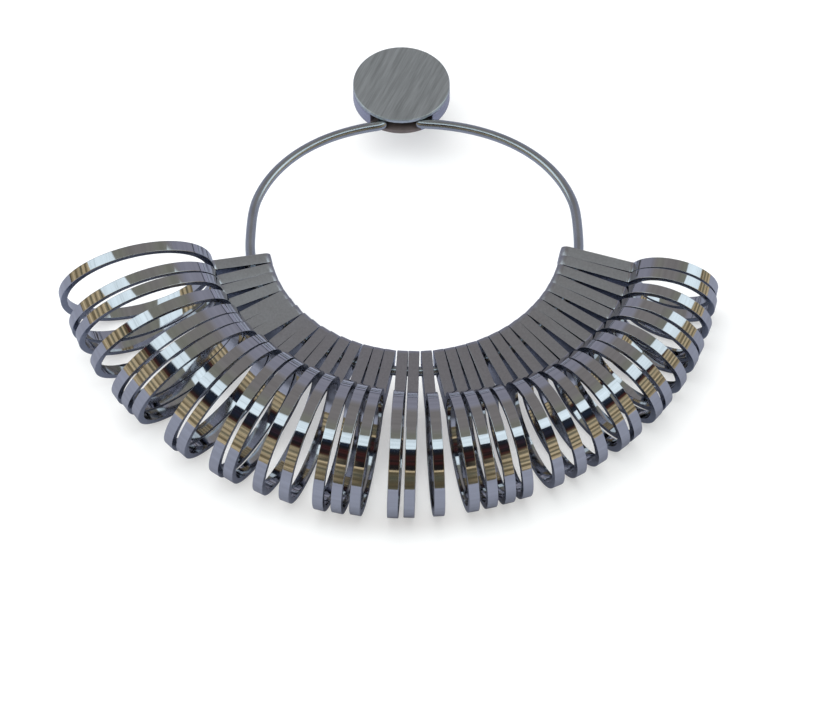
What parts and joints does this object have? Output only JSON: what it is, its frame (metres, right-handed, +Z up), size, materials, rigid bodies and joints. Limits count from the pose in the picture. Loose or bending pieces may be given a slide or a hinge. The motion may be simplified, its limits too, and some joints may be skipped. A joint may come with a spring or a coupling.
{
  "type": "ring sizer",
  "caption": "Jeweller's ring sizer: plated steel finger gauges, each a ring with a flat tab, fanned out on a wire carrier closed by a round screw clasp.",
  "frame": {"origin": "on the ground, under the middle of the bounding box", "axes": "+X along the width of the fan, from the largest gauge to the smallest; +Y towards the clasp; +Z up"},
  "size_m": [0.1108, 0.0988, 0.026],
  "materials": {
    "polished_plate": "bright plated, mirror band, satin tab edges",
    "polished_wire": "bright drawn wire",
    "brushed_steel": "straight brushed face",
    "cup_steel": "turned and plated",
    "plain_steel": "plain turned"
  },
  "bodies": {
    "carrier": {"carrier_wire": "polished_wire", "clasp_cup": "cup_steel", "pin_left": "plain_steel", "pin_right": "plain_steel"},
    "screw": {"clasp_stud": "plain_steel"},
    "lid": {"clasp_lid": "brushed_steel"},
    "gauge_76": {"gauge_76": "polished_plate"},
    "gauge_75": {"gauge_75": "polished_plate"},
    "gauge_74": {"gauge_74": "polished_plate"},
    "gauge_73": {"gauge_73": "polished_plate"},
    "gauge_72": {"gauge_72": "polished_plate"},
    "gauge_71": {"gauge_71": "polished_plate"},
    "gauge_70": {"gauge_70": "polished_plate"},
    "gauge_69": {"gauge_69": "polished_plate"},
    "gauge_68": {"gauge_68": "polished_plate"},
    "gauge_67": {"gauge_67": "polished_plate"},
    "gauge_66": {"gauge_66": "polished_plate"},
    "gauge_65": {"gauge_65": "polished_plate"},
    "gauge_64": {"gauge_64": "polished_plate"},
    "gauge_63": {"gauge_63": "polished_plate"},
    "gauge_62": {"gauge_62": "polished_plate"},
    "gauge_61": {"gauge_61": "polished_plate"},
    "gauge_60": {"gauge_60": "polished_plate"},
    "gauge_59": {"gauge_59": "polished_plate"},
    "gauge_58": {"gauge_58": "polished_plate"},
    "gauge_57": {"gauge_57": "polished_plate"},
    "gauge_56": {"gauge_56": "polished_plate"},
    "gauge_55": {"gauge_55": "polished_plate"},
    "gauge_54": {"gauge_54": "polished_plate"},
    "gauge_53": {"gauge_53": "polished_plate"},
    "gauge_52": {"gauge_52": "polished_plate"},
    "gauge_51": {"gauge_51": "polished_plate"},
    "gauge_50": {"gauge_50": "polished_plate"},
    "gauge_49": {"gauge_49": "polished_plate"},
    "gauge_48": {"gauge_48": "polished_plate"},
    "gauge_47": {"gauge_47": "polished_plate"},
    "gauge_46": {"gauge_46": "polished_plate"},
    "gauge_45": {"gauge_45": "polished_plate"},
    "gauge_44": {"gauge_44": "polished_plate"},
    "gauge_43": {"gauge_43": "polished_plate"},
    "gauge_42": {"gauge_42": "polished_plate"},
    "gauge_41": {"gauge_41": "polished_plate"}
  },
  "joints": [
    {"name": "lid_lift", "type": "slide", "parent": "carrier", "child": "screw", "axis": [0, 0, 1], "range_m": [0, 0.0015]},
    {"name": "lid_turn", "type": "hinge", "parent": "screw", "child": "lid", "pos_m": [0.00212, 0.04122, 0.0106], "axis": [0, 0, 1], "range_deg": [0, 1080]},
    {"name": "swing_76", "type": "hinge", "parent": "carrier", "child": "gauge_76", "pos_m": [-0.02296, 0.00243, 0.0106], "axis": [-0.226, 0.9343, 0.2756], "range_deg": [-50, 37]},
    {"name": "swing_75", "type": "hinge", "parent": "carrier", "child": "gauge_75", "pos_m": [-0.02245, 0, 0.0106], "axis": [-0.325, 0.8938, 0.309], "range_deg": [-50, 37]},
    {"name": "swing_74", "type": "hinge", "parent": "carrier", "child": "gauge_74", "pos_m": [-0.02186, -0.00199, 0.0106], "axis": [-0.3483, 0.885, 0.309], "range_deg": [-50, 37]},
    {"name": "swing_73", "type": "hinge", "parent": "carrier", "child": "gauge_73", "pos_m": [-0.02096, -0.00427, 0.0106], "axis": [-0.4402, 0.8368, 0.3256], "range_deg": [-50, 37]},
    {"name": "swing_72", "type": "hinge", "parent": "carrier", "child": "gauge_72", "pos_m": [-0.01982, -0.00657, 0.0106], "axis": [-0.5571, 0.7741, 0.3007], "range_deg": [-50, 37]},
    {"name": "swing_71", "type": "hinge", "parent": "carrier", "child": "gauge_71", "pos_m": [-0.01875, -0.00832, 0.0106], "axis": [-0.5732, 0.7622, 0.3007], "range_deg": [-50, 37]},
    {"name": "swing_70", "type": "hinge", "parent": "carrier", "child": "gauge_70", "pos_m": [-0.01756, -0.00999, 0.0106], "axis": [-0.589, 0.7501, 0.3007], "range_deg": [-50, 37]},
    {"name": "swing_69", "type": "hinge", "parent": "carrier", "child": "gauge_69", "pos_m": [-0.01579, -0.01206, 0.0106], "axis": [-0.7182, 0.6524, 0.2419], "range_deg": [-50, 37]},
    {"name": "swing_68", "type": "hinge", "parent": "carrier", "child": "gauge_68", "pos_m": [-0.01435, -0.01348, 0.0106], "axis": [-0.7317, 0.6372, 0.2419], "range_deg": [-50, 37]},
    {"name": "swing_67", "type": "hinge", "parent": "carrier", "child": "gauge_67", "pos_m": [-0.01233, -0.01515, 0.0106], "axis": [-0.8231, 0.5407, 0.1736], "range_deg": [-50, 37]},
    {"name": "swing_66", "type": "hinge", "parent": "carrier", "child": "gauge_66", "pos_m": [-0.01069, -0.0163, 0.0106], "axis": [-0.8361, 0.5204, 0.1736], "range_deg": [-50, 37]},
    {"name": "swing_65", "type": "hinge", "parent": "carrier", "child": "gauge_65", "pos_m": [-0.0086, -0.01752, 0.0106], "axis": [-0.8904, 0.4334, 0.1392], "range_deg": [-50, 37]},
    {"name": "swing_64", "type": "hinge", "parent": "carrier", "child": "gauge_64", "pos_m": [-0.00651, -0.01852, 0.0106], "axis": [-0.9256, 0.3637, 0.1045], "range_deg": [-50, 37]},
    {"name": "swing_63", "type": "hinge", "parent": "carrier", "child": "gauge_63", "pos_m": [-0.00419, -0.01938, 0.0106], "axis": [-0.9647, 0.2583, 0.0523], "range_deg": [-50, 37]},
    {"name": "swing_62", "type": "hinge", "parent": "carrier", "child": "gauge_62", "pos_m": [-0.00226, -0.01993, 0.0106], "axis": [-0.9739, 0.2211, 0.0523], "range_deg": [-50, 37]},
    {"name": "swing_61", "type": "hinge", "parent": "carrier", "child": "gauge_61", "pos_m": [-0.00028, -0.02034, 0.0106], "axis": [-0.9816, 0.1835, 0.0523], "range_deg": [-50, 37]},
    {"name": "swing_60", "type": "hinge", "parent": "carrier", "child": "gauge_60", "pos_m": [0.00218, -0.02064, 0.0106], "axis": [-0.9985, 0.0525, 0.0175], "range_deg": [-50, 37]},
    {"name": "swing_59", "type": "hinge", "parent": "carrier", "child": "gauge_59", "pos_m": [0.00416, -0.02072, 0.0106], "axis": [-0.9995, 0.0246, 0.0175], "range_deg": [-50, 37]},
    {"name": "swing_58", "type": "hinge", "parent": "carrier", "child": "gauge_58", "pos_m": [0.00649, -0.02064, 0.0106], "axis": [-0.9973, -0.0729, 0], "range_deg": [-50, 37]},
    {"name": "swing_57", "type": "hinge", "parent": "carrier", "child": "gauge_57", "pos_m": [0.00891, -0.02034, 0.0106], "axis": [-0.9805, -0.1932, -0.0349], "range_deg": [-50, 37]},
    {"name": "swing_56", "type": "hinge", "parent": "carrier", "child": "gauge_56", "pos_m": [0.01089, -0.01993, 0.0106], "axis": [-0.9716, -0.2341, -0.0349], "range_deg": [-50, 37]},
    {"name": "swing_55", "type": "hinge", "parent": "carrier", "child": "gauge_55", "pos_m": [0.01284, -0.01938, 0.0106], "axis": [-0.9609, -0.2745, -0.0349], "range_deg": [-50, 37]},
    {"name": "swing_54", "type": "hinge", "parent": "carrier", "child": "gauge_54", "pos_m": [0.01474, -0.01869, 0.0106], "axis": [-0.9486, -0.3145, -0.0349], "range_deg": [-50, 37]},
    {"name": "swing_53", "type": "hinge", "parent": "carrier", "child": "gauge_53", "pos_m": [0.01695, -0.01767, 0.0106], "axis": [-0.9017, -0.4268, -0.0698], "range_deg": [-50, 37]},
    {"name": "swing_52", "type": "hinge", "parent": "carrier", "child": "gauge_52", "pos_m": [0.01893, -0.01655, 0.0106], "axis": [-0.8642, -0.494, -0.0958], "range_deg": [-50, 37]},
    {"name": "swing_51", "type": "hinge", "parent": "carrier", "child": "gauge_51", "pos_m": [0.02082, -0.01526, 0.0106], "axis": [-0.8208, -0.558, -0.1219], "range_deg": [-50, 37]},
    {"name": "swing_50", "type": "hinge", "parent": "carrier", "child": "gauge_50", "pos_m": [0.02267, -0.01376, 0.0106], "axis": [-0.7595, -0.6314, -0.1564], "range_deg": [-50, 37]},
    {"name": "swing_49", "type": "hinge", "parent": "carrier", "child": "gauge_49", "pos_m": [0.02414, -0.01235, 0.0106], "axis": [-0.7347, -0.6601, -0.1564], "range_deg": [-50, 37]},
    {"name": "swing_48", "type": "hinge", "parent": "carrier", "child": "gauge_48", "pos_m": [0.02576, -0.01053, 0.0106], "axis": [-0.6498, -0.7358, -0.1908], "range_deg": [-50, 37]},
    {"name": "swing_47", "type": "hinge", "parent": "carrier", "child": "gauge_47", "pos_m": [0.02699, -0.0089, 0.0106], "axis": [-0.621, -0.7602, -0.1908], "range_deg": [-50, 37]},
    {"name": "swing_46", "type": "hinge", "parent": "carrier", "child": "gauge_46", "pos_m": [0.02825, -0.00692, 0.0106], "axis": [-0.5422, -0.8141, -0.2079], "range_deg": [-50, 37]},
    {"name": "swing_45", "type": "hinge", "parent": "carrier", "child": "gauge_45", "pos_m": [0.02935, -0.00482, 0.0106], "axis": [-0.4558, -0.8612, -0.225], "range_deg": [-50, 37]},
    {"name": "swing_44", "type": "hinge", "parent": "carrier", "child": "gauge_44", "pos_m": [0.03015, -0.00293, 0.0106], "axis": [-0.4254, -0.8766, -0.225], "range_deg": [-50, 37]},
    {"name": "swing_43", "type": "hinge", "parent": "carrier", "child": "gauge_43", "pos_m": [0.0309, -0.00069, 0.0106], "axis": [-0.3339, -0.9132, -0.2334], "range_deg": [-50, 37]},
    {"name": "swing_42", "type": "hinge", "parent": "carrier", "child": "gauge_42", "pos_m": [0.03145, 0.0016, 0.0106], "axis": [-0.238, -0.9406, -0.2419], "range_deg": [-50, 37]},
    {"name": "swing_41", "type": "hinge", "parent": "carrier", "child": "gauge_41", "pos_m": [0.03177, 0.00364, 0.0106], "axis": [-0.205, -0.9484, -0.2419], "range_deg": [-50, 37]}
  ],
  "couplings": [
    {"joint": "lid_lift", "follows": "lid_turn", "m_per_rad": 0.000079577}
  ]
}
